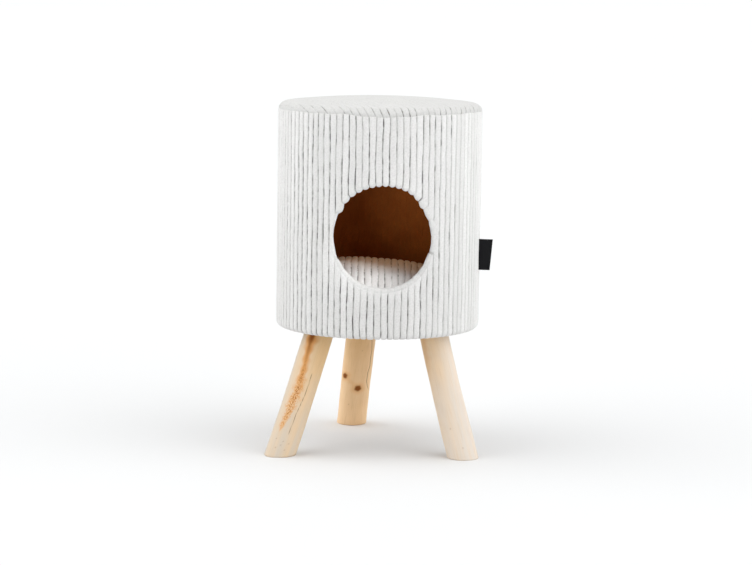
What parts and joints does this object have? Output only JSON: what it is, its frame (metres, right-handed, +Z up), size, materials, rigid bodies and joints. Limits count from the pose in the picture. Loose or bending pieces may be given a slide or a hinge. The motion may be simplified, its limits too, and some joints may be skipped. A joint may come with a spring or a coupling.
{
  "type": "pet cave bed",
  "caption": "Raised pet cave: upright corduroy-covered drum with a round entrance in its side, a ribbed cushion inside, on splayed round log legs.",
  "frame": {"origin": "on the floor, under the middle of the whole bed's box; the drum's axis stands 3.3 mm to the left of it and 26.1 mm in front of it", "axes": "+Z up along the drum's axis, -Y towards the front, where the entrance is, +X to the right as seen from the front"},
  "size_m": [0.3844, 0.4022, 0.6057],
  "materials": {
    "corduroy": "off-white plush corduroy with wide ribs",
    "board": "plain brown pressed board",
    "log_wood": "peeled pale pine log, sanded, unvarnished",
    "ribbon": "black woven ribbon, bare"
  },
  "bodies": {
    "root": {"side_cover": "corduroy", "top_cover": "corduroy", "shell_wall": "board", "shell_ceiling": "board", "shell_floor": "board", "cushion": "corduroy", "leg_left": "log_wood", "leg_right": "log_wood", "leg_rear": "log_wood", "label": "ribbon"}
  },
  "joints": []
}
